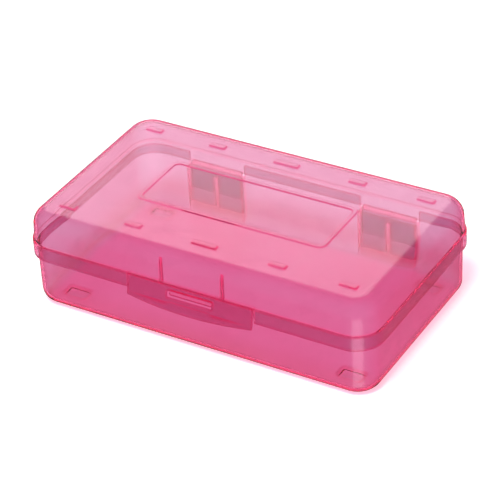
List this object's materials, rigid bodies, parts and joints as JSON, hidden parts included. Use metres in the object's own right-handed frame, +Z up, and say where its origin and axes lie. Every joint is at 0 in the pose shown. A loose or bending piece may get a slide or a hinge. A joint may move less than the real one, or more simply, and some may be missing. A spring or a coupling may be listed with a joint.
{
  "type": "pencil case",
  "caption": "Translucent moulded pencil case: deep tray, overlapping hinged lid with a front snap latch flap, stacking nubs and a raised label frame.",
  "frame": {"origin": "middle of the tray's flat underside, under the middle of the case's length and of its skirt's width", "axes": "+Z up, +X along the case's length, -Y towards the latch, +Y towards the hinge"},
  "size_m": [0.21, 0.1283, 0.0576],
  "materials": {
    "pink_plastic": "translucent glossy polypropylene"
  },
  "bodies": {
    "base": {"base_tray": "pink_plastic", "hinge_tab_left": "pink_plastic", "hinge_tab_right": "pink_plastic"},
    "lid": {"lid": "pink_plastic"},
    "latch": {"latch_flap": "pink_plastic"}
  },
  "joints": [
    {"name": "lid_hinge", "type": "hinge", "parent": "base", "child": "lid", "pos_m": [0, 0.0607, 0.0306], "axis": [-1, 0, 0], "range_deg": [0, 110]},
    {"name": "latch_flex", "type": "hinge", "parent": "lid", "child": "latch", "pos_m": [0, -0.0613, 0.039], "axis": [-1, 0, 0], "range_deg": [0, 60], "stiffness_Nm_per_rad": 0.01}
  ]
}
